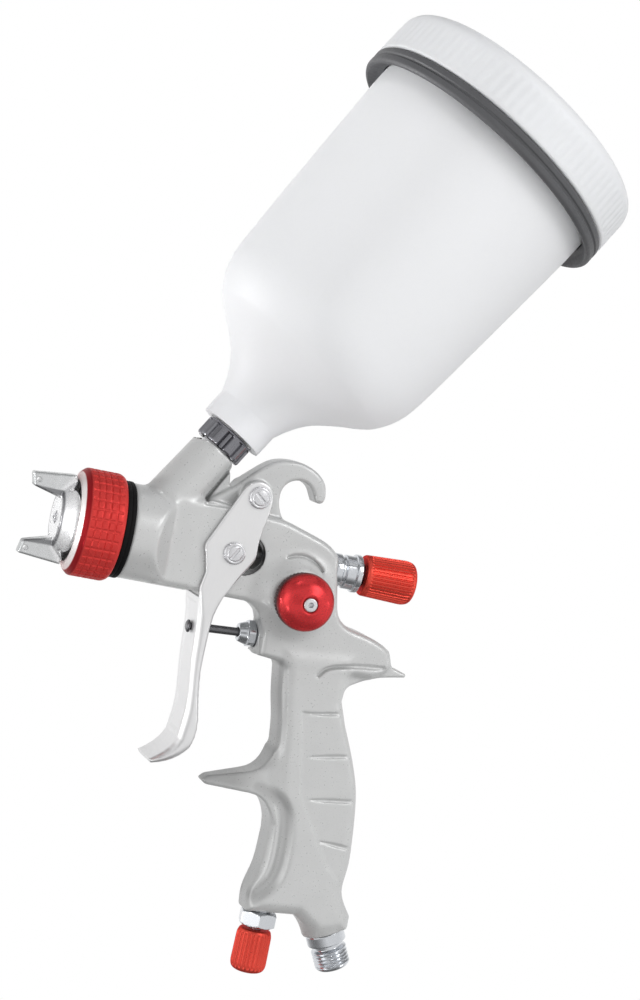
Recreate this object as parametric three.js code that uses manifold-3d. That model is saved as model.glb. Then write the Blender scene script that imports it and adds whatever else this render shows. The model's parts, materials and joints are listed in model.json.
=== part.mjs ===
import * as THREE from "three";
import { mergeVertices } from "three/addons/utils/BufferGeometryUtils.js";
import Module from "manifold-3d";

// Gravity-feed HVLP spray gun, in millimetres. The spray leaves along -X, +Z is up, and the
// trigger's side plates face -Y and +Y. Everything is laid out from the fluid needle's axis
// (y = 0, z = 0), with x = 0 at the trigger's cross pin. The finished group is moved so that
// its origin is the top of the inner arch of the hanging hook.

const wasm = await Module();
wasm.setup();

// ---- driving dimensions -------------------------------------------------------------------

const GAP = 0.3; // clearance between neighbouring pieces

const HOOK = { x: 20.5, z: 23, radius: 6.3, half: 5 }; // inner arch of the hanging hook
const PIVOT = { x: 5, z: 21, radius: 2.4, boss: 5.6 }; // trigger pivot
const WEB_HALF = 9; // half thickness of the body between the trigger's side plates
const GRIP_HALF = 9.8; // half thickness of the grip

const HEAD = { front: -52, step: -38.2, rear: -25, noseRadius: 16.2, radius: 16.9 };
const RING = { front: -58, rear: -42, lip: 14.6, inner: 16.5, radius: 19.2 };
const CAP = { face: -63.2, rear: -54.2, flange: 15.7, radius: 14.2, faceRadius: 9.8 };
const HORN = { tip: -74.3, width: 7 };

const WINDOW = { front: 1.6, rear: 4.9, radius: 7.2 }; // slot through the body at the cross pin
const NEEDLE = { tip: -64.2, radius: 1.2, tail: 52 };
const REAR_NUT = { face: 40.4, collar: 48.3, end: 50.3, radius: 6.2 };
const FLUID_KNOB = { front: 51.8, rear: 71.2, frontRadius: 7.5, rearRadius: 8.1 };

const PLATE = { inner: 9.6, outer: 11.1 }; // trigger side plates, distances from y = 0
const CROSS_PIN = { radius: 3.6, slotHeight: 5, slotWidth: 4.4 };

const VALVE = { x: 17, z: -28.1, rise: 3 }; // air valve axis where it leaves the boss, degrees
const FAN = { x: 26, z: -11.5, bossFace: -13.2, knobBase: -15.6, knobFace: -29.3, radius: 10.5 };
const AIR = { x: 40.5, nutTop: -127.3, nutEnd: -133, knobTop: -134.2, knobEnd: -150 };
const INLET = { x: 71, z: -140, lean: 26.8, radius: 6.58 }; // G1/4 male thread, 13.16 mm across

const CUP_AXIS = { x: -32.5, lean: 31.5 }; // leans back from the vertical, in degrees
const CUP = { neck: 48.4, shoulder: 102, rim: 199, wall: 1.8 };
const SEAL = { low: 179.6, high: 186.3, radius: 53.6 };
const LID = { low: 186.6, top: 206, radius: 53.6 };

const ROUND = 32; // sides of a large turned piece
const SMALL = 14; // sides of a small turned piece

// ---- materials ----------------------------------------------------------------------------

const finish = (color, roughness, metalness) => ({ color, roughness, metalness });
const CAST = finish(0xc3c5c5, 0.5, 0.6);
const STEEL = finish(0xdfe0e2, 0.28, 0.95);
const CHROME = finish(0xd0d3d6, 0.12, 1);
const BRASS = finish(0xb99b55, 0.3, 0.9);
const RED = finish(0xc9282b, 0.35, 0.4);
const BLACK = finish(0x1d1d1f, 0.6, 0);
const NYLON = finish(0xe9ebee, 0.45, 0);
const SEAL_GREY = finish(0x3d3f42, 0.6, 0);
const PTFE = finish(0xe6e4dc, 0.6, 0);

// ---- solids -------------------------------------------------------------------------------

/** A manifold solid from a closed three.js geometry. */
function solid(geometry) {
  const bare = geometry.clone();
  bare.deleteAttribute("normal");
  bare.deleteAttribute("uv");
  const merged = mergeVertices(bare, 1e-3);
  const index = merged.index.array;
  const kept = [];
  for (let i = 0; i < index.length; i += 3) {
    const [a, b, c] = [index[i], index[i + 1], index[i + 2]];
    if (a !== b && b !== c && c !== a) kept.push(a, b, c);
  }
  const mesh = new wasm.Mesh({
    numProp: 3,
    vertProperties: new Float32Array(merged.attributes.position.array),
    triVerts: new Uint32Array(kept),
    tolerance: 2e-3,
  });
  mesh.merge();
  return new wasm.Manifold(mesh);
}

/** A three.js geometry from a manifold solid. */
function geometryOf(manifold) {
  const mesh = manifold.getMesh();
  const geometry = new THREE.BufferGeometry();
  geometry.setAttribute("position", new THREE.BufferAttribute(mesh.vertProperties, 3));
  geometry.setIndex(new THREE.BufferAttribute(mesh.triVerts, 1));
  geometry.computeVertexNormals();
  return geometry;
}

/** Body minus cuts, plus additions made before the cuts. */
function carve(base, additions = [], cuts = []) {
  let result = solid(base);
  for (const piece of additions) result = result.add(solid(piece));
  for (const cut of cuts) result = result.subtract(solid(cut));
  return geometryOf(result);
}

/** Turned solid about +Z from [radius, height] points that start and end on the axis. */
function turned(profile, sides = SMALL) {
  const points = profile.map(([r, h]) => new THREE.Vector2(r, h));
  if (THREE.ShapeUtils.area(points) < 0) points.reverse();
  return new THREE.LatheGeometry(points, sides).rotateX(Math.PI / 2);
}

/** Turned ring about +Z from [radius, height] points that close on themselves. */
function turnedRing(profile, sides = SMALL) {
  const points = profile.map(([r, h]) => new THREE.Vector2(r, h));
  if (THREE.ShapeUtils.area(points) < 0) points.reverse();
  return new THREE.LatheGeometry([...points, points[0]], sides).rotateX(Math.PI / 2);
}

/** Plain rod about +Z between two heights. */
const rod = (radius, low, high, sides = SMALL) =>
  turned([[0, low], [radius, low], [radius, high], [0, high]], sides);

/** Plain tube about +Z between two heights. */
const tube = (outer, inner, low, high, sides = SMALL) =>
  turnedRing([[inner, low], [outer, low], [outer, high], [inner, high]], sides);

/** Hexagonal prism about +Z with a round hole; across is the distance over the flats. */
function hexNut(across, hole, low, high) {
  const prism = new THREE.CylinderGeometry(across / Math.sqrt(3), across / Math.sqrt(3), high - low, 6);
  prism.rotateX(Math.PI / 2).translate(0, 0, (low + high) / 2);
  return carve(prism, [], [rod(hole, low - 1, high + 1)]);
}

// Places for pieces that are modelled about +Z.
const alongX = (geometry) => geometry.rotateY(Math.PI / 2);
const alongY = (geometry, x, z) => geometry.rotateX(-Math.PI / 2).translate(x, 0, z);
const alongValve = (geometry) =>
  geometry.rotateY(THREE.MathUtils.degToRad(90 - VALVE.rise)).translate(VALVE.x, 0, VALVE.z);
const alongInlet = (geometry) =>
  geometry.rotateY(THREE.MathUtils.degToRad(180 - INLET.lean)).translate(INLET.x, 0, INLET.z);
const alongAir = (geometry) => geometry.translate(AIR.x, 0, 0);
const alongCup = (geometry) =>
  geometry.rotateY(THREE.MathUtils.degToRad(CUP_AXIS.lean)).translate(CUP_AXIS.x, 0, 0);

/** Side outline in (x, z), extruded across Y between -half and +half with rounded edges. */
function slab(shape, half, bevel = 0, steps = 2) {
  const geometry = new THREE.ExtrudeGeometry(shape, {
    depth: 2 * (half - bevel),
    curveSegments: 3,
    bevelEnabled: bevel > 0,
    bevelThickness: bevel,
    bevelSize: bevel,
    bevelOffset: -bevel,
    bevelSegments: steps,
  });
  return geometry.rotateX(Math.PI / 2).translate(0, half - bevel, 0);
}

/** Closed shape through [x, z] corners; a third value sets a corner back by that length. */
function rounded(corners) {
  const points = corners.map(([x, z]) => new THREE.Vector2(x, z));
  const shape = new THREE.Shape();
  points.forEach((corner, i) => {
    const setback = corners[i][2] ?? 0;
    const before = points[(i + points.length - 1) % points.length];
    const after = points[(i + 1) % points.length];
    const enter = corner.clone().add(before.clone().sub(corner).setLength(setback));
    const leave = corner.clone().add(after.clone().sub(corner).setLength(setback));
    if (i === 0) shape.moveTo(enter.x, enter.y);
    else shape.lineTo(enter.x, enter.y);
    if (setback > 0) shape.quadraticCurveTo(corner.x, corner.y, leave.x, leave.y);
  });
  shape.closePath();
  return shape;
}

const vectors = (pairs) => pairs.map(([x, z]) => new THREE.Vector2(x, z));

// ---- the cast body ------------------------------------------------------------------------

/** Barrel web and rear housing, seen from the side. */
function webShape() {
  return rounded([
    [-26, -15.9], [17, -16.4], [17.6, -34.6], [30, -36], [61, -35.6], [68, -31.4], [65.8, -24.4],
    [58, -21, 4], [46, -19, 4], [41.6, -11, 4], [39.6, 5.4], [35, 9.4, 4], [17.5, 14.6],
    [-10, 16.6], [-26, 16.6],
  ]);
}

/** Grip, seen from the side, from the air valve down to the heel. */
function gripShape() {
  const shape = new THREE.Shape();
  shape.moveTo(26, -30);
  shape.splineThru(vectors([[28.6, -47], [31, -58], [32.4, -70], [34.4, -84], [36, -98]]));
  shape.splineThru(vectors([[35.6, -110], [33.4, -120], [33.8, -127]]));
  shape.lineTo(52, -126);
  shape.lineTo(61, -132);
  shape.lineTo(73, -129);
  shape.lineTo(73.2, -123.6);
  shape.splineThru(vectors([[68.3, -115], [68.6, -102], [66.2, -81], [62.4, -68.5], [56, -54.4]]));
  shape.lineTo(52.8, -46);
  shape.lineTo(54, -28);
  shape.closePath();
  return shape;
}

/** Finger rest in front of the grip, seen from the side. */
const fingerRestShape = () => rounded([
  [37, -66], [31.6, -68], [28, -75.8, 3], [9.6, -81], [7.8, -82.8], [9.4, -84.2], [30, -84.6, 3], [37, -92],
]);

/** Tang over the web of the hand, seen from the side. */
const tangShape = () => rounded([
  [51, -26], [66, -25.4], [68.4, -30.8, 2], [74.6, -32.3], [74.6, -33.5], [62, -35.6, 4], [52.6, -41],
]);

/** Hanging hook that rises from the web behind the cup's boss. */
function hookShape() {
  const shape = new THREE.Shape();
  shape.moveTo(-12.5, 12);
  shape.lineTo(-12, 16.4);
  shape.lineTo(-2.9, 23.2);
  shape.splineThru(vectors([[2.4, 28.5], [10, 34.4], [18.3, 35.8], [25.2, 33.9], [29.6, 30.2], [31, 25.6]]));
  shape.quadraticCurveTo(31, 22.6, 29, 22.5);
  shape.lineTo(27.6, 22.9);
  shape.lineTo(HOOK.x + HOOK.radius * Math.cos(0.4), HOOK.z + HOOK.radius * Math.sin(0.4));
  shape.absarc(HOOK.x, HOOK.z, HOOK.radius, 0.4, Math.PI, false);
  shape.quadraticCurveTo(14, 17.4, 18.6, 13);
  shape.lineTo(18, 8);
  shape.closePath();
  return shape;
}

/** Rib that fills the corner between the cup's boss and the hook. */
const cornerRibShape = () => rounded([
  [-16, 12], [-6.8, 28], [-5.2, 27.2], [-4.6, 23.4], [-1.5, 18], [-2, 12],
]);

/** Slot through the body at the cross pin, open on both sides. */
function windowShape() {
  const shape = new THREE.Shape();
  shape.absarc(WINDOW.rear, 0, WINDOW.radius, -Math.PI / 2, Math.PI / 2, false);
  shape.absarc(WINDOW.front, 0, WINDOW.radius, Math.PI / 2, 1.5 * Math.PI, false);
  shape.closePath();
  return shape;
}

/** Rod between two points of the middle plane y = 0. */
function drilled(radius, [x0, z0], [x1, z1]) {
  const from = new THREE.Vector3(x0, 0, z0);
  const along = new THREE.Vector3(x1, 0, z1).sub(from);
  const turn = new THREE.Quaternion().setFromUnitVectors(
    new THREE.Vector3(0, 0, 1), along.clone().normalize());
  return rod(radius, 0, along.length(), 12).applyQuaternion(turn).translate(x0, 0, z0);
}

function gunBody() {
  const head = alongX(turned([
    [0, HEAD.front], [HEAD.noseRadius - 0.8, HEAD.front], [HEAD.noseRadius, HEAD.front + 0.8],
    [HEAD.noseRadius, HEAD.step], [HEAD.radius, HEAD.step], [HEAD.radius, -29],
    [HEAD.radius - 1.5, HEAD.rear], [0, HEAD.rear],
  ], ROUND));
  const cupBoss = alongCup(turned([[0, 4], [10, 8], [8.7, 26], [8.7, 39.4], [7.9, 40.2], [0, 40.2]], 20));
  const valveBoss = alongValve(turned([[0, 0], [6, 0], [6.6, 0.6], [6.6, 16], [0, 16]], 16));
  const fanBoss = alongY(turned([
    [0, FAN.bossFace], [10.6, FAN.bossFace], [12.6, -12.2], [14.5, -8], [0, -8],
  ], 24), FAN.x, FAN.z);
  const inletBoss = alongInlet(turned([[0, -30], [8, -30], [8.6, -14], [8.2, -10], [0, -10]], 16));
  const pivotBoss = alongY(rod(PIVOT.boss, -WEB_HALF, WEB_HALF), PIVOT.x, PIVOT.z);

  const needleBore = alongX(turned([
    [0, -53], [13, -53], [13, -44], [5.5, -44], [5.5, -26.5], [2.6, -26.5], [2.6, -14],
    [4, -14], [4, 0], [0, 0],
  ]));
  const springBore = alongX(turned([
    [0, 8], [5.4, 8], [5.4, REAR_NUT.face - GAP], [7.6, REAR_NUT.face - GAP], [7.6, 48], [0, 48],
  ]));
  const window = slab(windowShape(), 20);
  const cupBore = alongCup(turned([[0, 0], [3.4, 0], [3.4, 28], [6.5, 28], [6.5, 45], [0, 45]]));
  const valveBore = alongValve(rod(4.6, -4, 32.3));
  const fanBore = alongY(rod(5.2, -20, 2), FAN.x, FAN.z);
  const airBore = alongAir(turned([
    [0, -135], [4.4, -135], [4.4, -112.7], [2.5, -112.7], [2.5, -97], [0, -97],
  ]));
  const inletBore = alongInlet(turned([
    [0, -52], [3.4, -52], [3.4, -24], [5.4, -24], [5.4, -10], [9.5, -10], [9.5, 4], [0, 4],
  ]));
  const pivotBore = alongY(rod(PIVOT.radius + GAP, -20, 20), PIVOT.x, PIVOT.z);
  const gripBore = drilled(3.2, [44, -27], [43, -96]);
  const risingPassage = drilled(2.2, [FAN.x, -27], [FAN.x, FAN.z]);
  const frontPassage = drilled(2.2, [FAN.x, FAN.z], [-46, FAN.z]);

  return carve(slab(webShape(), WEB_HALF, 2, 1), [
    slab(gripShape(), GRIP_HALF, 3.2), slab(fingerRestShape(), 6.4, 1, 1),
    slab(tangShape(), 6.4, 0.6, 1), slab(hookShape(), HOOK.half, 1, 1), slab(cornerRibShape(), 3),
    head, cupBoss, valveBoss, fanBoss, inletBoss, pivotBoss,
  ], [
    needleBore, springBore, window, cupBore, valveBore, fanBore, airBore, inletBore, pivotBore,
    gripBore, risingPassage, frontPassage,
  ]);
}

// ---- spray head ---------------------------------------------------------------------------

const headCollar = () => alongX(tube(17.3, HEAD.noseRadius + GAP, RING.rear + GAP, HEAD.step - GAP, ROUND));

const fluidNozzle = () => alongX(turnedRing([
  [0.75, -63.8], [1.6, -63.8], [1.9, -60.6], [5.2, -55], [8, -53], [8, -44.4], [5.2, -44.4], [5.2, -26.9],
  [2.4, -26.9], [2.4, -57.4], [0.75, -62.6],
]));

const airCapSeal = () => alongX(tube(15.7, 13.4, -53.9, -52.3, ROUND));

/** One horn of the air cap, on the +Z side. */
function horn() {
  const shape = rounded([
    [-57.5, 5.5], [-65, 7.4], [-73.2, 9.6], [HORN.tip, 14.4], [-59, 15.9], [-58.4, 13], [-57.5, 12.6],
  ]);
  return slab(shape, HORN.width / 2, 0.8, 1);
}

function airCap() {
  const cap = alongX(turnedRing([
    [2.2, CAP.face], [CAP.faceRadius, CAP.face], [CAP.radius - 0.6, -59.4], [CAP.radius, -58.6],
    [CAP.radius, -56 - 0.02], [CAP.flange, -56], [CAP.flange, CAP.rear], [12.4, CAP.rear],
    [12.4, -57.2], [8.6, -61.4], [2.2, -61.4],
  ], ROUND));
  const jet = alongY(rod(0.6, -10, 10, 8), -72.4, 12);
  const jets = [jet, jet.clone().rotateX(Math.PI)];
  return carve(cap, [horn(), horn().rotateX(Math.PI)], jets);
}

const airCapRing = () => alongX(turnedRing([
  [RING.lip, RING.front], [17.3, RING.front], [17.9, RING.front + 0.6], [RING.radius, -55.5],
  [RING.radius, -46], [18.7, RING.rear - 0.5], [18.2, RING.rear], [RING.inner, RING.rear],
  [RING.inner, -56.4], [RING.lip, -56.4],
], ROUND));

// ---- fluid needle and its control ---------------------------------------------------------

const fluidNeedle = () => alongX(turned([
  [0, NEEDLE.tip], [0.3, NEEDLE.tip], [0.55, -62.4], [NEEDLE.radius, -57], [NEEDLE.radius, 18],
  [4.8, 18], [4.8, 20], [1.4, 20], [1.4, NEEDLE.tail], [0, NEEDLE.tail],
]));
const needlePacking = () => alongX(tube(3.8, 1.4, -13.7, -10.3));
const needlePackingNut = () => alongX(tube(3.8, 1.5, -10, -5.2));
const needleCollar = () => alongX(tube(4.6, 1.4, 3.9, 7.1));
const needleSpring = () => alongX(tube(2.6, 1.7, 20.3, 61.6, 16));

const fluidAdjusterNut = () => alongX(turnedRing([
  [4.2, 34], [5.1, 34], [5.1, REAR_NUT.face], [REAR_NUT.radius, REAR_NUT.face],
  [REAR_NUT.radius, REAR_NUT.collar], [7, REAR_NUT.collar], [7, REAR_NUT.end], [4.2, REAR_NUT.end],
], 24));

const fluidKnobStem = () => alongX(turned([
  [0, 62], [2.9, 62], [2.9, 38], [3.9, 38], [3.9, 63], [0, 63],
]));

const fluidControlKnob = () => alongX(turned([
  [0, 63.4], [4.2, 63.4], [4.2, FLUID_KNOB.front], [FLUID_KNOB.frontRadius - 0.6, FLUID_KNOB.front],
  [FLUID_KNOB.frontRadius, FLUID_KNOB.front + 0.6], [FLUID_KNOB.rearRadius, 69.6],
  [7.4, 71.6], [5.6, FLUID_KNOB.rear], [0, FLUID_KNOB.rear],
], 28));

// ---- trigger ------------------------------------------------------------------------------

/** Side outline of the whole trigger. */
function triggerShape() {
  const shape = new THREE.Shape();
  shape.moveTo(PIVOT.x + 4.6, 15);
  shape.lineTo(PIVOT.x + 5, 19.6);
  shape.quadraticCurveTo(10, 26.4, 4.6, 26.6);
  shape.quadraticCurveTo(0.4, 26.4, -1.4, 22.2);
  shape.lineTo(-10.4, 2.6);
  shape.quadraticCurveTo(-11.4, 0.6, -10.2, -1.6);
  shape.lineTo(-8.6, -8.3);
  shape.lineTo(-9.6, -13.8);
  shape.splineThru(vectors([[-7.6, -27], [-6.6, -41], [-5, -56.5], [-5.9, -68]]));
  shape.quadraticCurveTo(-8, -73.4, -14.6, -77.4);
  shape.lineTo(-13.6, -78.7);
  shape.quadraticCurveTo(-6.2, -77.4, -2, -72.8);
  shape.quadraticCurveTo(1.6, -69.4, 0.6, -61);
  shape.splineThru(vectors([[-1.4, -50.5], [-2.4, -40], [-2, -24], [-0.4, -16.4]]));
  shape.splineThru(vectors([
    [3.8, -8.4], [6.2, -4.6], [8.2, -0.6], [8.2, 5], [8.6, 10], [PIVOT.x + 4.6, 15],
  ]));
  return shape;
}

/** Hollow between the side plates: open at the back and, above the channel, at the front. */
function triggerHollow() {
  const shape = new THREE.Shape();
  shape.moveTo(30, 40);
  shape.lineTo(-30, 40);
  shape.lineTo(-30, -16.8);
  shape.lineTo(-7.4, -17.6);
  shape.splineThru(vectors([[-6, -27], [-5, -41], [-3.4, -56.5], [-4.2, -67.6]]));
  shape.lineTo(-3, -71);
  shape.lineTo(30, -71);
  shape.closePath();
  return shape;
}

const trigger = () => carve(slab(triggerShape(), PLATE.outer), [], [
  slab(triggerHollow(), PLATE.inner),
  alongY(rod(PIVOT.radius + GAP, -20, 20), PIVOT.x, PIVOT.z),
  alongY(rod(CROSS_PIN.radius - 0.6 + GAP, -20, 20), 0, 0),
  alongValve(rod(1.5, -30, -18)),
]);

const pivotPin = () => alongY(turned([
  [0, -11], [PIVOT.radius, -11], [PIVOT.radius, 11.4], [4, 11.4], [4, 12.2], [3, 12.8], [0, 12.8],
]), PIVOT.x, PIVOT.z);
const pivotScrew = () => alongY(turned([
  [0, -12.9], [3, -12.9], [4, -12.2], [4, -11.4], [0, -11.4],
]), PIVOT.x, PIVOT.z);

/** Cross pin with a slot for the needle; its shoulders seat inside the side plates. */
function crossPin() {
  const shaft = alongY(turned([
    [0, -11], [CROSS_PIN.radius - 0.6, -11], [CROSS_PIN.radius - 0.6, -9.2],
    [CROSS_PIN.radius, -9.2], [CROSS_PIN.radius, 9.2], [CROSS_PIN.radius - 0.6, 9.2],
    [CROSS_PIN.radius - 0.6, 11.4], [4, 11.4], [4, 12.2], [3, 12.8], [0, 12.8],
  ]), 0, 0);
  return carve(shaft, [], [new THREE.BoxGeometry(20, CROSS_PIN.slotWidth, CROSS_PIN.slotHeight)]);
}
const crossPinScrew = () => alongY(turned([
  [0, -12.9], [3, -12.9], [4, -12.2], [4, -11.4], [0, -11.4],
]), 0, 0);

const triggerRivet = () => alongValve(turned([
  [0, -25.9], [1.8, -25.9], [2.3, -25.4], [2.3, -24.8], [1.2, -24.8], [1.2, -22.9], [0, -22.9],
]));

// ---- air valve ----------------------------------------------------------------------------

const airValveStem = () => alongValve(rod(1.5, -22.4, 13.5, 16));
const airValveNut = () => alongValve(turnedRing([
  [1.9, -6.6], [3.2, -6.6], [4.6, -4], [5, -3.6], [5, -GAP], [4.3, -GAP], [4.3, 5], [1.9, 5],
]));
const airValvePacking = () => alongValve(tube(4.3, 1.8, 5.3, 7.6));
const airValveSeat = () => alongValve(tube(4.3, 2.7, 11.2, 13.4));
const airValvePoppet = () => alongValve(rod(3.8, 13.8, 16.2));
const airValveSpring = () => alongValve(tube(3.4, 2.5, 16.5, 32, 16));

// ---- fan control --------------------------------------------------------------------------

const fanControlBush = () => alongY(turnedRing([
  [2.4, -1], [4.9, -1], [4.9, FAN.bossFace - GAP], [6.6, FAN.bossFace - GAP], [6.6, -14.7],
  [2.4, -14.7],
]), FAN.x, FAN.z);
const fanControlSpindle = () => alongY(turned([
  [0, -25.4], [2.1, -25.4], [2.1, -2.4], [0.6, -0.8], [0, -0.8],
]), FAN.x, FAN.z);
const fanControlKnob = () => alongY(turnedRing([
  [2.4, FAN.knobBase], [9, FAN.knobBase], [10.1, -17], [FAN.radius, -22], [9.9, -24.6],
  [7.8, -27.4], [4.4, -28.9], [2.9, FAN.knobFace], [2.9, -28], [1.3, -28], [1.3, -25.8],
  [2.4, -25.8],
], 24), FAN.x, FAN.z);
const fanKnobScrew = () => alongY(turned([
  [0, -29.6], [2.1, -29.6], [2.6, -29], [2.6, -28.3], [1, -28.3], [1, -25.7], [0, -25.7],
], 16), FAN.x, FAN.z);

// ---- air flow control and air inlet -------------------------------------------------------

const airFlowValveBody = () => alongAir(carve(hexNut(12.6, 2.2, AIR.nutEnd, AIR.nutTop), [
  tube(4.1, 2.2, AIR.nutTop - 0.5, -113),
]));
const airFlowSpindle = () => alongAir(turned([
  [0, -142], [1.9, -142], [1.9, -100], [0.5, -98], [0, -98],
]));
const airFlowKnob = () => alongAir(turned([
  [0, AIR.knobEnd], [4.6, AIR.knobEnd], [6.2, -149], [6.6, -147.6], [6.4, -135], [5.8, AIR.knobTop],
  [2.2, AIR.knobTop], [2.2, -142.4], [0, -142.4],
], 24));

const airInletFitting = () => alongInlet(turnedRing([
  [3.4, -22], [5.1, -22], [5.1, -9.7], [7.2, -9.7], [7.2, -5.4], [5, -5], [5, -3.4],
  [INLET.radius, -2.8], [INLET.radius, 3.4], [5.7, 4.4], [3.4, 4.4],
], 24));

// ---- paint cup ----------------------------------------------------------------------------

const cupNut = () => alongCup(tube(9.3, 6.6, 40.6, 48, 24));
const cupConnector = () => alongCup(turnedRing([
  [4.2, 29], [6.2, 29], [6.2, 48.6], [8.9, 48.6], [8.9, 54], [4.2, 54],
]));
const cupFilter = () => alongCup(turned([
  [0, 68], [4.6, 67], [5.4, 55.4], [8.6, 55.4], [8.6, 54.4], [4.6, 54.4], [3.9, 66.2], [0, 67.2],
]));

/** Outer wall of the cup, from the neck up to the rim. */
const cupWall = [
  [12.3, CUP.neck], [12.4, 57.4], [14.8, 62.6], [18.9, 69], [25.7, 75.2], [34, 81.4], [37.8, 85.4],
  [41.4, 92.4], [43.2, CUP.shoulder], [47.2, 176], [47.4, CUP.rim],
];
function cup() {
  const inner = cupWall.slice(2).map(([r, h]) => [r - CUP.wall, h === CUP.rim ? h : h + 0.9]);
  return alongCup(turnedRing([[9.2, CUP.neck], ...cupWall, ...inner.reverse(), [9.2, 59]], ROUND));
}

const cupSealRing = () => alongCup(turnedRing([
  [47.8, SEAL.low + 3.4], [49.6, SEAL.low + 2.6], [51.8, SEAL.low], [52.9, SEAL.low],
  [SEAL.radius, SEAL.low + 1], [SEAL.radius, SEAL.high - 0.6], [53, SEAL.high], [47.8, SEAL.high],
], ROUND));

const cupLid = () => alongCup(turned([
  [0, LID.top - 3], [45.6, LID.top - 3], [49.8, LID.top - 6], [49.8, LID.low], [52.8, LID.low],
  [LID.radius, LID.low + 0.8], [LID.radius - 0.4, LID.top - 5.4], [52.4, LID.top - 2.6],
  [49.4, LID.top - 0.6], [46.6, LID.top], [2.2, LID.top], [2.2, LID.top - 1], [0, LID.top - 1],
], ROUND));

// ---- assembly -----------------------------------------------------------------------------

const pieces = [
  ["gun_body", gunBody, CAST],
  ["head_collar", headCollar, BLACK],
  ["fluid_nozzle", fluidNozzle, STEEL],
  ["air_cap_seal", airCapSeal, PTFE],
  ["air_cap", airCap, CHROME],
  ["air_cap_ring", airCapRing, RED],
  ["fluid_needle", fluidNeedle, STEEL],
  ["needle_packing", needlePacking, PTFE],
  ["needle_packing_nut", needlePackingNut, BRASS],
  ["needle_collar", needleCollar, STEEL],
  ["needle_spring", needleSpring, STEEL],
  ["fluid_adjuster_nut", fluidAdjusterNut, CHROME],
  ["fluid_knob_stem", fluidKnobStem, STEEL],
  ["fluid_control_knob", fluidControlKnob, RED],
  ["trigger", trigger, STEEL],
  ["trigger_pivot_pin", pivotPin, STEEL],
  ["trigger_pivot_screw", pivotScrew, STEEL],
  ["trigger_cross_pin", crossPin, STEEL],
  ["trigger_cross_pin_screw", crossPinScrew, STEEL],
  ["trigger_rivet", triggerRivet, STEEL],
  ["air_valve_stem", airValveStem, STEEL],
  ["air_valve_nut", airValveNut, CHROME],
  ["air_valve_packing", airValvePacking, PTFE],
  ["air_valve_seat", airValveSeat, BRASS],
  ["air_valve_poppet", airValvePoppet, BRASS],
  ["air_valve_spring", airValveSpring, STEEL],
  ["fan_control_bush", fanControlBush, BRASS],
  ["fan_control_spindle", fanControlSpindle, STEEL],
  ["fan_control_knob", fanControlKnob, RED],
  ["fan_knob_screw", fanKnobScrew, STEEL],
  ["air_flow_valve_body", airFlowValveBody, CHROME],
  ["air_flow_spindle", airFlowSpindle, STEEL],
  ["air_flow_knob", airFlowKnob, RED],
  ["air_inlet_fitting", airInletFitting, CHROME],
  ["cup_nut", cupNut, CHROME],
  ["cup_connector", cupConnector, STEEL],
  ["cup_filter", cupFilter, PTFE],
  ["cup", cup, NYLON],
  ["cup_seal_ring", cupSealRing, SEAL_GREY],
  ["cup_lid", cupLid, NYLON],
];

const gun = new THREE.Group();
for (const [name, build, look] of pieces) {
  const mesh = new THREE.Mesh(build(), new THREE.MeshStandardMaterial(look));
  mesh.name = name;
  gun.add(mesh);
}
gun.position.set(-HOOK.x, 0, -(HOOK.z + HOOK.radius));

const sprayGun = new THREE.Group();
sprayGun.add(gun);

export default sprayGun;
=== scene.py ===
import json
import math

import bmesh
import bpy
import numpy as np
from mathutils import Matrix, Vector


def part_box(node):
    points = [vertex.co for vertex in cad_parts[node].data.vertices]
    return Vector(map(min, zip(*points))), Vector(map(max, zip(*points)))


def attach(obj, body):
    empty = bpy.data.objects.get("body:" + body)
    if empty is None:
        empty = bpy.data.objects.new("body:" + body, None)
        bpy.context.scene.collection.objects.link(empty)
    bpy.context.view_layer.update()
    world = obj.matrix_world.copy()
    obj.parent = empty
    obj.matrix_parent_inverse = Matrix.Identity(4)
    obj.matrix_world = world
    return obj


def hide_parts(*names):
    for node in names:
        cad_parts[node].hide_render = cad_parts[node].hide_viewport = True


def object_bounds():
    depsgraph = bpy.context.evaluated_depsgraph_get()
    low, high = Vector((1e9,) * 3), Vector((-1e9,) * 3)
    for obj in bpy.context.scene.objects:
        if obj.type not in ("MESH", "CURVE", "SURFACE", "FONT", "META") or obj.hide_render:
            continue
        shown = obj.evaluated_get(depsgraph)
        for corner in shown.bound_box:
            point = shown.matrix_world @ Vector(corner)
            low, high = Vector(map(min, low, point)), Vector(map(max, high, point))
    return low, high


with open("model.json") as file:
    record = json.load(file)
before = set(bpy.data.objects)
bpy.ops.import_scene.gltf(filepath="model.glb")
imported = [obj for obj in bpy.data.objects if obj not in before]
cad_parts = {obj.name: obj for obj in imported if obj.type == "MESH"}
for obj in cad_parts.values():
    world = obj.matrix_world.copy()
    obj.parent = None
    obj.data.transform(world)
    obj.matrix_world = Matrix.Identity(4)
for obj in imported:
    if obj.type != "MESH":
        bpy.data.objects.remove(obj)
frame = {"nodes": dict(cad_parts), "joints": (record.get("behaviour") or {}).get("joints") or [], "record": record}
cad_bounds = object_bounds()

# Gravity-feed spray gun. Shapes are worked out in millimetres from the fluid needle's axis, with
# x = 0 at the trigger's cross pin, and are moved to the row frame as they become meshes.

MM = 0.001
JOINTS = {joint["name"]: joint for joint in frame["joints"]}
pin_low, pin_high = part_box("trigger_cross_pin_screw")
ORIGIN = np.array([(pin_low.x + pin_high.x) / 2, 0.0, (pin_low.z + pin_high.z) / 2])


def local(point):
    """A point of the row frame, in metres, as millimetres from the needle's axis."""
    return (np.array(point, float) - ORIGIN) / MM


def axis_line(joint_name, back=0.0):
    """Point and direction of a joint's axis; the point is moved back along it."""
    joint = JOINTS[joint_name]
    direction = np.array(joint["axis"], float)
    direction /= np.linalg.norm(direction)
    return local(joint["pos_m"]) - back * direction, direction


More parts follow.
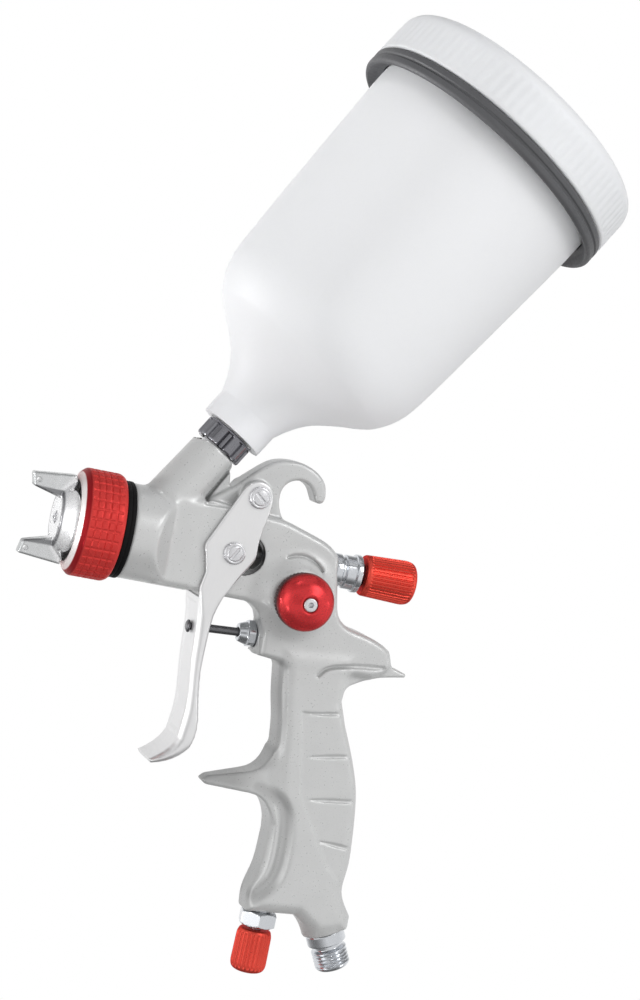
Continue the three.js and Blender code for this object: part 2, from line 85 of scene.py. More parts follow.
PIVOT = local(JOINTS["trigger_pull"]["pos_m"])
FAN_X, _, FAN_Z = axis_line("fan_knob_turn")[0]
AIR_X = axis_line("air_knob_turn")[0][0]
BARREL = (np.zeros(3), np.array([1.0, 0.0, 0.0]))
CUP = axis_line("cup_nut_turn", back=44.0)
VALVE_RISE = math.asin(JOINTS["valve_slide"]["axis"][2])
VALVE = (np.array([17.0, 0.0, -28.1]), np.array([math.cos(VALVE_RISE), 0.0, math.sin(VALVE_RISE)]))
FAN = (np.array([FAN_X, 0.0, FAN_Z]), np.array([0.0, 1.0, 0.0]))
AIR = (np.array([AIR_X, 0.0, 0.0]), np.array([0.0, 0.0, 1.0]))
PIVOT_LINE = (np.array([PIVOT[0], 0.0, PIVOT[2]]), np.array([0.0, 1.0, 0.0]))
CROSS_LINE = (np.zeros(3), np.array([0.0, 1.0, 0.0]))
inlet_mount = next(m for m in frame["record"]["mounts"] if m["name"] == "air_inlet")
INLET_DIRECTION = np.array(inlet_mount["axis"], float)
INLET = (np.array([71.0, 0.0, -140.0]), INLET_DIRECTION / np.linalg.norm(INLET_DIRECTION))

# Main dimensions in millimetres: R is a radius, and HALF is half of a thickness along y.
FULL_TURN = 2 * math.pi
HEAD_FRONT, HEAD_STEP, HEAD_REAR, HEAD_R = -52.0, -38.2, -13.0, 16.9
RING_REAR = -42.0
NUT_FACE = 40.4
WEB_HALF, GRIP_HALF, TANG_HALF, HOOK_HALF, CORNER_RIB_HALF = 9.0, 9.8, 6.4, 5.0, 3.0
PLATE_IN, PLATE_OUT = 9.6, 11.1
PIVOT_BORE_R, CROSS_BORE_R, BORE_EDGE = 2.7, 3.3, 0.1
CUP_THICKNESS = 1.8
LID_LOW, LID_TOP = 186.6, 206.0
RING_GROOVES, RING_GROOVE_PITCH = 34, 2.4
REAR_KNOB_RIBS, FAN_KNOB_RIBS, AIR_KNOB_RIBS = 36, 44, 24
CUP_NUT_FLUTES, LID_RIBS = 10, 90
INLET_THREAD_PITCH = 1.34


# ---- outlines -----------------------------------------------------------------------------


def spline(points, steps=7):
    """Points along a Catmull-Rom curve through the given ones."""
    p = np.array([points[0], *points, points[-1]], float)
    t = np.linspace(0, 1, steps, endpoint=False)[:, None]
    out = []
    for a, b, c, d in zip(p, p[1:], p[2:], p[3:]):
        v0, v1 = (c - a) / 2, (d - b) / 2
        out.append((2 * b - 2 * c + v0 + v1) * t**3 + (3 * c - 3 * b - 2 * v0 - v1) * t**2 + v0 * t + b)
    return [tuple(q) for q in np.vstack([*out, p[-1:]])]


def bend(start, corner, end, steps=6):
    """Points along a quadratic curve."""
    t = np.linspace(0, 1, steps)[:, None]
    s, c, e = (np.array(q, float) for q in (start, corner, end))
    return [tuple(q) for q in (1 - t) ** 2 * s + 2 * t * (1 - t) * c + t * t * e]


def arc(x, z, radius, start, end, count):
    """Points along an arc about (x, z), between two angles."""
    return [(x + radius * math.cos(a), z + radius * math.sin(a)) for a in np.linspace(start, end, count)]


def outline(start, *parts):
    """Closed outline: a pair is a line, four numbers a curve past a corner, a list a spline."""
    points = [start]
    for part in parts:
        if isinstance(part, list):
            points += spline([points[-1], *part])[1:]
        elif len(part) == 4:
            points += bend(points[-1], part[:2], part[2:])[1:]
        else:
            points.append(part)
    return points


def softened(corners, closed=True, steps=5):
    """Corners given as (a, b) or (a, b, setback), with the set-back ones rounded off."""
    out, n = [], len(corners)
    for i, corner in enumerate(corners):
        here = np.array(corner[:2], float)
        setback = corner[2] if len(corner) > 2 else 0.0
        if setback == 0 or (not closed and i in (0, n - 1)):
            out.append(tuple(here))
            continue
        ends = []
        for other in (corners[i - 1], corners[(i + 1) % n]):
            away = np.array(other[:2], float) - here
            length = np.linalg.norm(away)
            ends.append(here + away / length * min(setback, length * 0.49))
        out += bend(ends[0], here, ends[1], steps)
    return out


# ---- distance fields ----------------------------------------------------------------------


def blend_min(a, b, k):
    """The nearer of two distances, with a fillet of about k where they meet."""
    h = np.maximum(k - np.abs(a - b), 0) / k
    return np.minimum(a, b) - h * h * k * 0.25


def blend_max(a, b, k):
    """The farther of two distances, with a rounding of about k where they meet."""
    return -blend_min(-a, -b, k)


def flat_distance(points, X, Z):
    """Signed distance from a closed outline in a plane."""
    nearest = np.full(np.broadcast(X, Z).shape, 1e9, np.float32)
    inside = np.zeros(nearest.shape, bool)
    for (x0, z0), (x1, z1) in zip(points, [*points[1:], points[0]]):
        ex, ez = x1 - x0, z1 - z0
        if ex * ex + ez * ez < 1e-10:
            continue
        wx, wz = X - x0, Z - z0
        t = np.clip((wx * ex + wz * ez) / (ex * ex + ez * ez), 0, 1)
        nearest = np.minimum(nearest, (wx - ex * t) ** 2 + (wz - ez * t) ** 2)
        if ez:
            inside ^= ((z0 > Z) != (z1 > Z)) & (wx < ex * wz / ez)
    return np.where(inside, -1, 1) * np.sqrt(nearest)


def path_distance(points, X, Z):
    """Distance from an open line in a plane."""
    nearest = np.full(np.broadcast(X, Z).shape, 1e9, np.float32)
    for (x0, z0), (x1, z1) in zip(points, points[1:]):
        ex, ez = x1 - x0, z1 - z0
        t = np.clip(((X - x0) * ex + (Z - z0) * ez) / (ex * ex + ez * ez), 0, 1)
        nearest = np.minimum(nearest, (X - x0 - ex * t) ** 2 + (Z - z0 - ez * t) ** 2)
    return np.sqrt(nearest)


def both(a, b, radius):
    """Where both distances are negative, with the edge between them rounded."""
    a, b = a + radius, b + radius
    return np.minimum(np.maximum(a, b), 0) + np.hypot(np.maximum(a, 0), np.maximum(b, 0)) - radius


def slab(points, half, radius, X, Y, Z):
    """Plate with a side outline and half a thickness along y, its edges rounded."""
    return both(flat_distance(points, X, Z), np.abs(Y) - half, radius)


def around(line, X, Y, Z):
    """(distance from the axis, height along it) of points about a line."""
    (px, py, pz), (dx, dy, dz) = line
    x, y, z = X - px, Y - py, Z - pz
    height = x * dx + y * dy + z * dz
    off_axis = (x - height * dx) ** 2 + (y - height * dy) ** 2 + (z - height * dz) ** 2
    return np.sqrt(np.maximum(off_axis, 1e-12)), height


def rod(line, radius, low, high, edge, X, Y, Z):
    """Rod about a line; the radius may be a pair, for the low and the high end."""
    r, h = around(line, X, Y, Z)
    if isinstance(radius, tuple):
        radius = radius[0] + (radius[1] - radius[0]) * np.clip((h - low) / (high - low), 0, 1)
    return both(r - radius, np.abs(h - (low + high) / 2) - (high - low) / 2, edge)


def hexagon(line, across, low, high, edge, X, Y, Z, turn=0.0):
    """Hexagonal prism about a line, with its corners turned off at both ends."""
    (px, py, pz), d = line
    u, v = side_vectors(d)
    x = (X - px) * u[0] + (Y - py) * u[1] + (Z - pz) * u[2]
    y = (X - px) * v[0] + (Y - py) * v[1] + (Z - pz) * v[2]
    turns = (turn, turn + math.pi / 3, turn + 2 * math.pi / 3)
    flats = np.maximum.reduce([np.abs(x * math.cos(a) + y * math.sin(a)) for a in turns])
    r, h = around(line, X, Y, Z)
    ends = np.abs(h - (low + high) / 2) - (high - low) / 2
    cones = (r - across * 0.545 + (ends + 0.6) * 1.6) * 0.53
    return np.maximum(both(flats - across / 2, ends, edge), cones)


def side_vectors(direction):
    """Two unit vectors square to a direction."""
    helper = np.array([0.0, -1.0, 0.0]) if abs(direction[1]) < 0.9 else np.array([0.0, 0.0, 1.0])
    u = helper - direction * (helper @ direction)
    u /= np.linalg.norm(u)
    return u, np.cross(direction, u)


def net(field, low, high, step):
    """Vertices and quads of a field's zero surface."""
    low, high = np.array(low, float), np.array(high, float)
    grid = [low[i] + step * np.arange(int(math.ceil((high[i] - low[i]) / step)) + 1) for i in range(3)]
    X, Y, Z = (g.astype(np.float32) for g in grid)
    d = np.ascontiguousarray(np.broadcast_to(
        field(X[:, None, None], Y[None, :, None], Z[None, None, :]), (len(X), len(Y), len(Z))), np.float32)
    solid = d < 0
    corners = [(i, j, k) for i in (0, 1) for j in (0, 1) for k in (0, 1)]

    def cut(a, i, j, k):
        return a[i:a.shape[0] - 1 + i, j:a.shape[1] - 1 + j, k:a.shape[2] - 1 + k]

    count = sum(cut(solid, *c).astype(np.int8) for c in corners)
    mixed = (count > 0) & (count < 8)
    cells = np.argwhere(mixed)
    number = np.full(mixed.shape, -1, np.int64)
    number[mixed] = np.arange(len(cells))
    value = np.stack([cut(d, *c)[mixed] for c in corners], 1)
    spot, hits = np.zeros((len(cells), 3)), np.zeros(len(cells))
    for a in range(8):
        for b in range(a + 1, 8):
            step_ab = np.array(corners[b]) - np.array(corners[a])
            if np.abs(step_ab).sum() != 1:
                continue
            crossing = (value[:, a] < 0) != (value[:, b] < 0)
            t = np.where(crossing, value[:, a] / np.where(crossing, value[:, a] - value[:, b], 1), 0)
            spot += np.where(crossing[:, None], np.array(corners[a]) + t[:, None] * step_ab, 0)
            hits += crossing
    points = low + step * (cells + spot / hits[:, None])
    quads = []
    for axis in range(3):
        first = [slice(1, -1)] * 3
        second = [slice(1, -1)] * 3
        first[axis], second[axis] = slice(0, -1), slice(1, None)
        a, b = solid[tuple(first)], solid[tuple(second)]
        at = np.argwhere(a != b)
        outward = a[a != b]
        at = at + np.array([0 if i == axis else 1 for i in range(3)])
        s, t = [i for i in range(3) if i != axis]
        ring = []
        for ds, dt in ((-1, -1), (0, -1), (0, 0), (-1, 0)):
            cell = at.copy()
            cell[:, s] += ds
            cell[:, t] += dt
            ring.append(number[cell[:, 0], cell[:, 1], cell[:, 2]])
        face = np.stack(ring, 1)
        flip = outward if axis != 1 else ~outward
        face[~flip] = face[~flip][:, ::-1]
        quads.append(face)
    return settle(field, points, step), np.vstack(quads)


def settle(field, points, step):
    """Moves points onto the field's zero surface, by no more than part of a step."""
    e = 0.05

    def at(q):
        return np.asarray(field(q[:, 0], q[:, 1], q[:, 2]), float).reshape(-1)

    moved = points.copy()
    for _ in range(2):
        slope = np.stack([(at(moved + o) - at(moved - o)) / (2 * e) for o in np.eye(3) * e], 1)
        size = np.maximum((slope**2).sum(1), 0.2)
        shift = -(at(moved) / size)[:, None] * slope
        length = np.linalg.norm(shift, axis=1, keepdims=True)
        moved += shift * np.minimum(1, 0.35 * step / np.maximum(length, 1e-9))
    return moved


# ---- meshes -------------------------------------------------------------------------------


def mesh_object(name, points, faces, sharp=None, weld=False):
    """An object from points in millimetres, smooth except where faces meet at over sharp degrees."""
    mesh = bpy.data.meshes.new(name)
    mesh.from_pydata((ORIGIN + np.asarray(points) * MM).tolist(), [], np.asarray(faces).tolist())
    work = bmesh.new()
    work.from_mesh(mesh)
    if weld:
        bmesh.ops.remove_doubles(work, verts=work.verts, dist=1e-6)
    bmesh.ops.recalc_face_normals(work, faces=work.faces)
    work.to_mesh(mesh)
    work.free()
    mesh.shade_smooth()
    if sharp:
        mesh.set_sharp_from_angle(angle=math.radians(sharp))
    made = bpy.data.objects.new(name, mesh)
    bpy.context.scene.collection.objects.link(made)
    return made


def sculpted(name, field, low, high, step, sharp=None):
    """A piece made from the zero surface of a distance field inside a box."""
    points, faces = net(field, low, high, step)
    return mesh_object(name, points, faces, sharp)


def painted(piece, *coats):
    """Covers parts of a piece: each coat is a colour and how much of it there is at (x, y, z)."""
    points = np.empty(len(piece.data.vertices) * 3)
    piece.data.vertices.foreach_get("co", points)
    x, y, z = ((points.reshape(-1, 3) - ORIGIN) / MM).T
    paint = np.zeros((len(x), 4))
    for color, amount in coats:
        cover = np.clip(amount(x, y, z) + 0 * x, 0, 1)[:, None]
        over = paint[:, :3] + (np.array(color) - paint[:, :3]) * cover
        paint[:, :3] = np.where(paint[:, 3:] > 0, over, color)
        paint[:, 3:] = np.maximum(paint[:, 3:], cover)
    layer = piece.data.attributes.new("paint", "FLOAT_COLOR", "POINT")
    layer.data.foreach_set("color", paint.astype(np.float32).ravel())
    return piece


def resampled(points, step):
    """The same line with no span longer than step."""
    out = [points[0]]
    for a, b in zip(points, points[1:]):
        n = max(1, int(math.ceil(math.dist(a, b) / step)))
        out += [tuple(np.array(a) + (np.array(b) - np.array(a)) * i / n) for i in range(1, n + 1)]
    return out


def turned(name, line, profile, sides=96, closed=True, relief=None, step=None, sharp=38):
    """A turned piece from (radius, height[, rounding]) points; relief(r, h, angle) adds to r."""
    points = softened(profile, closed)
    if closed:
        points = [*points, points[0]]
    if step:
        points = resampled(points, step)
    ring = np.array(points[:-1] if closed else points)
    angle = np.linspace(0, 2 * math.pi, sides, endpoint=False)[None, :]
    r = np.repeat(ring[:, :1], sides, 1)
    h = np.repeat(ring[:, 1:2], sides, 1)
    if relief:
        r = np.where(r > 0.01, r + relief(r, h, angle), r)
    u, v = side_vectors(line[1])
    spots = (line[0] + h[..., None] * line[1]
             + (r * np.cos(angle))[..., None] * u + (r * np.sin(angle))[..., None] * v)
    rows = len(ring)
    i, j = np.meshgrid(np.arange(rows if closed else rows - 1), np.arange(sides), indexing="ij")
    i2, j2 = (i + 1) % rows, (j + 1) % sides
    faces = np.stack([i * sides + j, i * sides + j2, i2 * sides + j2, i2 * sides + j], -1).reshape(-1, 4)
    return mesh_object(name, spots.reshape(-1, 3), faces, sharp, weld=True)


def groove(u, width):
    """1 in the middle of each whole step of u, falling to 0 at half a width from it."""
    gap = np.abs(u - np.round(u))
    return 1 - np.clip((gap - width * 0.25) / (width * 0.25), 0, 1)


def band(h, low, high, fade=0.5):
    """1 between two heights, fading to 0 outside."""
    return np.clip((h - low) / fade, 0, 1) * np.clip((high - h) / fade, 0, 1)


# ---- finishes -----------------------------------------------------------------------------


def finish(name, color, metallic, roughness, grain=0.5, tint=0.04, bump=0.02, spread=0.08,
           stretch=(1, 1, 1), broad=12.0, subsurface=0.0, specular=0.5, coat=0.0, edge=None, paint=False):
    """A finish with fine grain, broad unevenness, faint scratches and roughness that varies.

    Grain and broad are feature sizes in millimetres, and bump is the grain's height. Edge is the
    tint seen at a glancing angle; with paint, the mesh's own paint covers the finish."""
    material = bpy.data.materials.new(name)
    material.use_nodes = True
    nodes, links = material.node_tree.nodes, material.node_tree.links
    shader = nodes["Principled BSDF"]
    shader.inputs["Metallic"].default_value = metallic
    shader.inputs["Specular IOR Level"].default_value = specular
    shader.inputs["Coat Weight"].default_value = coat
    shader.inputs["Coat Roughness"].default_value = 0.25
    if edge:
        shader.inputs["Specular Tint"].default_value = (*edge, 1)
    if subsurface:
        shader.inputs["Subsurface Weight"].default_value = subsurface
        shader.inputs["Subsurface Radius"].default_value = (1.0, 1.0, 1.05)
        shader.inputs["Subsurface Scale"].default_value = 0.006
    position = nodes.new("ShaderNodeTexCoord")
    scaling = nodes.new("ShaderNodeMapping")
    scaling.inputs["Scale"].default_value = stretch
    links.new(position.outputs["Object"], scaling.inputs["Vector"])

    def noise(size, detail, vector=scaling.outputs["Vector"]):
        node = nodes.new("ShaderNodeTexNoise")
        node.inputs["Scale"].default_value = 1 / (size * MM)
        node.inputs["Detail"].default_value = detail
        links.new(vector, node.inputs["Vector"])
        return node.outputs["Fac"]

    def ranged(value, low, high, start=0.3, end=0.7):
        node = nodes.new("ShaderNodeMapRange")
        node.inputs["From Min"].default_value = start
        node.inputs["From Max"].default_value = end
        node.inputs["To Min"].default_value = low
        node.inputs["To Max"].default_value = high
        links.new(value, node.inputs["Value"])
        return node.outputs["Result"]

    def mixed(factor, a, b):
        node = nodes.new("ShaderNodeMix")
        node.data_type = "RGBA"
        links.new(factor, node.inputs["Factor"])
        for socket, value in ((node.inputs[6], a), (node.inputs[7], b)):
            if isinstance(value, tuple):
                socket.default_value = (*value, 1)
            else:
                links.new(value, socket)
        return node.outputs[2]

    fine, wide = noise(grain, 4), noise(broad, 3, position.outputs["Object"])
    darker = tuple(c * (1 - tint) for c in color)
    lighter = tuple(min(1.0, c * (1 + tint)) for c in color)
    base = mixed(ranged(wide, 0, 1), darker, lighter)
    specks = mixed(ranged(fine, 0, 1), tuple(c * (1 - 1.5 * tint) for c in color), lighter)
    base = mixed(ranged(noise(grain * 3, 2), 0.35, 0.65), base, specks)
    if paint:
        coat_of_paint = nodes.new("ShaderNodeAttribute")
        coat_of_paint.attribute_name = "paint"
        base = mixed(coat_of_paint.outputs["Alpha"], base, coat_of_paint.outputs["Color"])
    links.new(base, shader.inputs["Base Color"])
    uneven = ranged(noise(grain * 2.2, 3), roughness - spread, roughness + spread)
    links.new(uneven, shader.inputs["Roughness"])
    relief = nodes.new("ShaderNodeBump")
    relief.inputs["Strength"].default_value = 0.6
    relief.inputs["Distance"].default_value = bump * MM
    links.new(fine, relief.inputs["Height"])
    links.new(relief.outputs["Normal"], shader.inputs["Normal"])
    return material


CAST = finish("cast_finish", (0.60, 0.605, 0.603), 0.34, 0.34, grain=0.35, tint=0.04, bump=0.03, broad=9,
              specular=0.12, paint=True)
SATIN = finish("satin_finish", (0.81, 0.81, 0.815), 0.8, 0.34, grain=0.5, tint=0.015, bump=0.006,
               stretch=(1, 1, 0.15), spread=0.05)
STEEL = finish("steel_finish", (0.72, 0.72, 0.74), 0.8, 0.3, grain=0.3, tint=0.04, bump=0.01)
DARK_STEEL = finish("dark_steel_finish", (0.16, 0.16, 0.17), 0.9, 0.3, grain=0.3, tint=0.08, bump=0.01)
CHROME = finish("chrome_finish", (0.66, 0.68, 0.71), 0.95, 0.16, grain=0.4, tint=0.05, bump=0.006,
                spread=0.05)
NUT_METAL = finish("nut_finish", (0.24, 0.24, 0.26), 0.95, 0.2, grain=0.4, tint=0.1, bump=0.01, spread=0.05)
CAP_METAL = finish("cap_finish", (0.92, 0.92, 0.93), 0.7, 0.3, grain=0.4, tint=0.02, bump=0.005,
                   paint=True)
BRASS = finish("brass_finish", (0.62, 0.45, 0.20), 0.95, 0.3, grain=0.3, tint=0.06, bump=0.01)
RED = finish("red_finish", (0.66, 0.055, 0.050), 0.42, 0.36, grain=0.4, tint=0.10, bump=0.02, specular=0.3,
             edge=(0.5, 0.06, 0.06), paint=True)
KNOB_RED = finish("knob_red_finish", (0.78, 0.088, 0.062), 0.72, 0.34, grain=0.4, tint=0.10, bump=0.02,
                  specular=0.3, edge=(0.5, 0.05, 0.04))
DOME_RED = finish("dome_red_finish", (0.66, 0.045, 0.050), 0.6, 0.29, grain=0.5, tint=0.06, bump=0.006,
                  spread=0.05, coat=0.12, specular=0.2, edge=(0.12, 0.01, 0.015), paint=True)
BLACK = finish("black_finish", (0.004, 0.004, 0.0045), 0.0, 0.6, grain=0.4, tint=0.2, bump=0.01,
               specular=0.15)
# The lid's nylon is the cup's made darker: painted shade that tones the lid down under the lamps.
SHADED_LID_NYLON = finish("lid_finish", (0.76, 0.77, 0.79), 0.0, 0.5, grain=0.9, tint=0.008, bump=0.008, broad=25,
                   subsurface=0.5, specular=0.25)
NYLON = finish("nylon_finish", (0.85, 0.86, 0.89), 0.0, 0.5, grain=0.9, tint=0.008, bump=0.008, broad=25,
               subsurface=0.5, specular=0.25)
SEAL = finish("seal_finish", (0.075, 0.076, 0.081), 0.0, 0.55, grain=0.5, tint=0.12, bump=0.02)
BODY_OF = {
    node: body for body, nodes in frame["record"]["behaviour"]["bodies"].items() for node in nodes}


def fit(piece, look, slot, *nodes):
    """Gives a piece its finish and lets it stand for its CAD nodes."""
    piece.data.materials.append(look)
    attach(piece, BODY_OF[nodes[0]])
    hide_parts(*nodes)
    return piece


# ---- the cast body ------------------------------------------------------------------------

WEB = softened([
    (-26, -15.9), (17, -16.4), (17.6, -34.6), (30, -36), (61, -35.6), (68, -31.4, 3), (65.8, -24.4, 3),
    (58, -21, 6), (46, -19, 6), (41.6, -11, 5), (39.6, 5.4, 2), (35, 9.4, 5), (17.5, 14.6, 3), (-10, 16.6),
    (-26, 16.6)])
GRIP = outline(
    (26, -30), [(28.6, -47), (31, -58), (32.4, -70), (34.4, -84), (36, -98)],
    [(35.6, -110), (33.4, -120), (33.8, -127)], (52, -126), (61, -132), (73, -129), (73.2, -123.6),
    [(68.3, -115), (68.6, -102), (66.2, -81), (62.4, -68.5), (56, -54.4)], (52.8, -46), (54, -28))
FINGER_REST = softened([
    (37, -66), (31.6, -68), (28, -75.8, 5), (9.6, -81, 1), (7.8, -82.8), (9.4, -84.2, 1), (30, -84.6, 4),
    (37, -92)])
TANG = softened([
    (51, -26), (66, -25.4), (68.4, -30.8, 2), (74.6, -32.3), (74.6, -33.5), (62, -35.6, 6), (52.6, -41)])
HOOK_X, HOOK_Z, HOOK_R = 20.5, 23.0, 6.3
HOOK = outline(
    (-12.5, 12), (-12, 16.4), (-2.9, 23.2),
    [(2.4, 28.5), (10, 34.4), (18.3, 35.8), (25.2, 33.9), (29.6, 30.2), (31, 25.6)],
    (31, 22.6, 29, 22.5), (27.6, 22.9), *arc(HOOK_X, HOOK_Z, HOOK_R, 0.4, math.pi, 14),
    (14, 17.4, 18.6, 13), (18, 8))
WINDOW_FRONT, WINDOW_REAR, WINDOW_R = 1.6, 4.9, 7.2
WINDOW = [
    *arc(WINDOW_REAR, 0, WINDOW_R, -math.pi / 2, math.pi / 2, 16),
    *arc(WINDOW_FRONT, 0, WINDOW_R, math.pi / 2, 1.5 * math.pi, 16)]
CORNER_RIB = softened([(-16, 12), (-6.8, 28), (-5.2, 27.2, 1), (-4.6, 23.4), (-1.5, 18), (-2, 12)])
SIDE_LINES = [
    [(38.7, -52.3), (58.0, -49.4)], [(42.6, -67.7), (62.5, -64.6)], [(45.6, -83.1), (68.1, -80.7)],
    [(52.6, -97.2), (70.9, -98.8)]]
CREASE = [(-12.4, 16.6), (-4.8, 30.4)]
KNOB_ARC = spline([(20.5, 2.0), (23.5, 3.1), (27.3, 3.2), (30.6, 2.0), (33.9, -0.7)])
PANEL = [(37.7, -51.7), (40.9, -68.1), (44.2, -82.9), (50.3, -92.3), (59.6, -106.3), (66, -112), (80, -112),
         (80, -50)]
TANG_LINE = spline([(40.8, -37.7), (42.9, -35.2), (47.0, -33.6), (55.6, -32.2), (64.5, -31.4)])
FRONT_VALLEY = spline([(27.2, -38), (28.6, -44.7), (31.0, -56.9), (32.0, -66.0), (30.5, -72.5), (25, -76.4)])
LOWER_VALLEY = spline([
    (28.0, -81.6), (31.3, -82.7), (37.4, -86.4), (40.5, -92.7), (41.6, -105.3), (40.0, -114.1),
    (34.5, -120.9)])


def cast_body(X, Y, Z):
    """Field of the casting: its masses joined, then the lines of the moulding, then the bores."""
    side = np.abs(Y)
    r, h = around(BARREL, X, Y, Z)
    ease = np.clip((X + 31.5) / 10.5, 0, 1)
    flat = 17.4 - (17.4 - WEB_HALF) * ease * ease * (3 - 2 * ease)
    middle, half = (HEAD_STEP + HEAD_REAR) / 2, (HEAD_REAR - HEAD_STEP) / 2
    barrel = both(r - HEAD_R, np.abs(X - middle) - half, 0.5)
    barrel = blend_max(barrel, (side - flat) * 0.8, 1.2)
    nose = rod(BARREL, 16.2, HEAD_FRONT, HEAD_STEP + 1, 0.7, X, Y, Z)
    web = slab(WEB, WEB_HALF, 2.4, X, Y, Z)
    d = blend_min(np.minimum(nose, barrel), web, 1.5)
    d = blend_min(d, slab(GRIP, GRIP_HALF, 5.4, X, Y, Z), 3.0)
    rest_half = np.clip(3.6 + (X - 8) * 0.14, 3.0, 8.0)
    d = blend_min(d, both(flat_distance(FINGER_REST, X, Z), side - rest_half, 1.3), 3.0)
    d = blend_min(d, slab(TANG, TANG_HALF, 0.8, X, Y, Z), 2.0)
    d = blend_min(d, slab(HOOK, HOOK_HALF, 1.5, X, Y, Z), 0.8)
    d = blend_min(d, slab(CORNER_RIB, CORNER_RIB_HALF, 0.5, X, Y, Z), 0.6)
    d = blend_min(d, rod(CUP, (9.6, 8.7), 6, 40.2, 0.8, X, Y, Z), 1.6)
    d = blend_min(d, rod(VALVE, (6.3, 6.7), 0, 16, 0.7, X, Y, Z), 2.0)
    fan_r, fan_h = around(FAN, X, Y, Z)
    boss_r = 14.2 - np.clip((-8.8 - fan_h) / 4.4, 0, 1) * 4.4
    d = blend_min(d, both(fan_r - boss_r, np.maximum(-13.2 - fan_h, fan_h), 1.0), 5.0)
    d = blend_min(d, rod(INLET, (8.0, 8.3), -30, -10, 0.7, X, Y, Z), 2.5)
    d = blend_min(d, rod(PIVOT_LINE, 5.6, -9.0, 9.0, 0.5, X, Y, Z), 1.0)
    # panels, creases and the lines of the moulding
    panel = np.maximum(flat_distance(PANEL, X, Z), 9.25 - side)
    d = blend_max(d, -panel, 0.9)
    for line in SIDE_LINES:
        thin = 0.62 * np.clip((X - line[0][0]) / 8, 0, 1)
        d = blend_max(d, thin - np.hypot(path_distance(line, X, Z), np.maximum(9.0 - side, 0)), 0.45)
    for line, depth, width in (
            (TANG_LINE, 8.6, 0.7), (KNOB_ARC, 8.9, 0.45), (FRONT_VALLEY, 9.2, 1.6)):
        d = blend_max(d, width - np.hypot(path_distance(line, X, Z), np.maximum(depth - side, 0)), 0.8)
    valley = np.hypot(path_distance(LOWER_VALLEY, X, Z), np.maximum(9.6 - side, 0))
    d = blend_max(d, 2.4 - valley, 2.2)
    for line, depth, width in (([(-13, 15.3), (-4, 15.7)], 8.0, 0.5), (CREASE, 1.6, 0.8)):
        d = blend_max(d, width - np.hypot(path_distance(line, X, Z), np.maximum(depth - side, 0)), 0.3)

    def bore(line, radius, low, high):
        return rod(line, radius, low, high, BORE_EDGE, X, Y, Z)

    cuts = [
        bore(BARREL, 13, -60, -44), bore(BARREL, 5.5, -50, -26.5), bore(BARREL, 2.6, -30, -14),
        bore(BARREL, 4, -14, 0), bore(BARREL, 5.4, 8, 60), bore(BARREL, 7.6, NUT_FACE - 0.3, 60),
        slab(WINDOW, 20, BORE_EDGE, X, Y, Z), bore(CUP, 6.5, 28, 45), bore(CUP, 3.4, 0, 30),
        bore(VALVE, 4.6, -4, 32.3), bore(FAN, 5.2, -20, 2), bore(AIR, 4.4, -140, -112.7),
        bore(AIR, 2.5, -120, -97), bore(INLET, 3.4, -52, 4), bore(INLET, 5.4, -24, 4),
        bore(INLET, 9.5, -10, 6), bore(PIVOT_LINE, PIVOT_BORE_R, -20, 20)]
    for cut in cuts:
        d = blend_max(d, -cut, 0.5)
    return d


def window_wall(x, y, z):
    """The wall of the window round the cross pin, in deep shade."""
    return (flat_distance(WINDOW, x, z) < 0.45) & (np.abs(y) < WEB_HALF - 0.35)


def crease_wall(x, y, z):
    """The crease between the cup's boss and the hook, in deep shade."""
    return (1.5 - path_distance(CREASE, x, z) / 0.8) * 0.8 * (y < -1.2)


def front_strip(x, y, z):
    """Painted shade on the front of the grip and the finger rest."""
    line_x, line_z = np.array(FRONT_VALLEY)[::-1].T
    fade = 1.2 + 10 * np.clip((-68 - z) / 8, 0, 1)
    return 0.6 * np.clip((np.interp(z, line_z, line_x) - x) / fade + 0.5, 0, 1) * band(z, -85, -33, 3)


def valley_shade(x, y, z):
    """Painted shade in the valley down the side of the grip."""
    return 0.42 * np.clip(1.6 - path_distance(LOWER_VALLEY, x, z) / 1.8, 0, 1) * (np.abs(y) > 3)


# Colours of painted shade on the casting: near-black in the window and the crease, grey on the grip's front and in
# its valley.
SHADOW_BLACK, SHADE_GREY = (0.012, 0.012, 0.013), (0.25, 0.25, 0.25)
casting = sculpted("body_casting", cast_body, (-53.3, -17.6, -135), (76, 17.6, 37), 0.67)
fit(painted(
    casting, (SHADE_GREY, front_strip), (SHADE_GREY, valley_shade), (SHADOW_BLACK, window_wall),
    (SHADOW_BLACK, crease_wall)), CAST, "cast_body", "gun_body")

# ---- trigger ------------------------------------------------------------------------------

TRIGGER = outline(
    (9.6, 15), (10, 19.6), (10, 26.4, 4.6, 26.6), (0.4, 26.4, -1.4, 22.2), (-10.4, 2.6),
    (-11.4, 0.6, -10.2, -1.6), (-8.6, -8.3), (-9.6, -13.8),
    [(-7.6, -27), (-6.6, -41), (-5, -56.5), (-5.9, -68)],
    (-8, -73.4, -14.6, -77.4), (-13.6, -78.7), (-6.2, -77.4, -2, -72.8), (1.6, -69.4, 0.6, -61),
    [(-1.4, -50.5), (-2.4, -40), (-2, -24), (-0.4, -16.4)],
    [(3.8, -8.4), (6.2, -4.6), (8.2, -0.6), (8.2, 5), (8.6, 10), (9.6, 15)])
HOLLOW = outline(
    (30, 40), (-30, 40), (-30, -16.8), (-7.4, -17.6), [(-6, -27), (-5, -41), (-3.4, -56.5), (-4.2, -67.6)],
    (-3, -71), (30, -71))


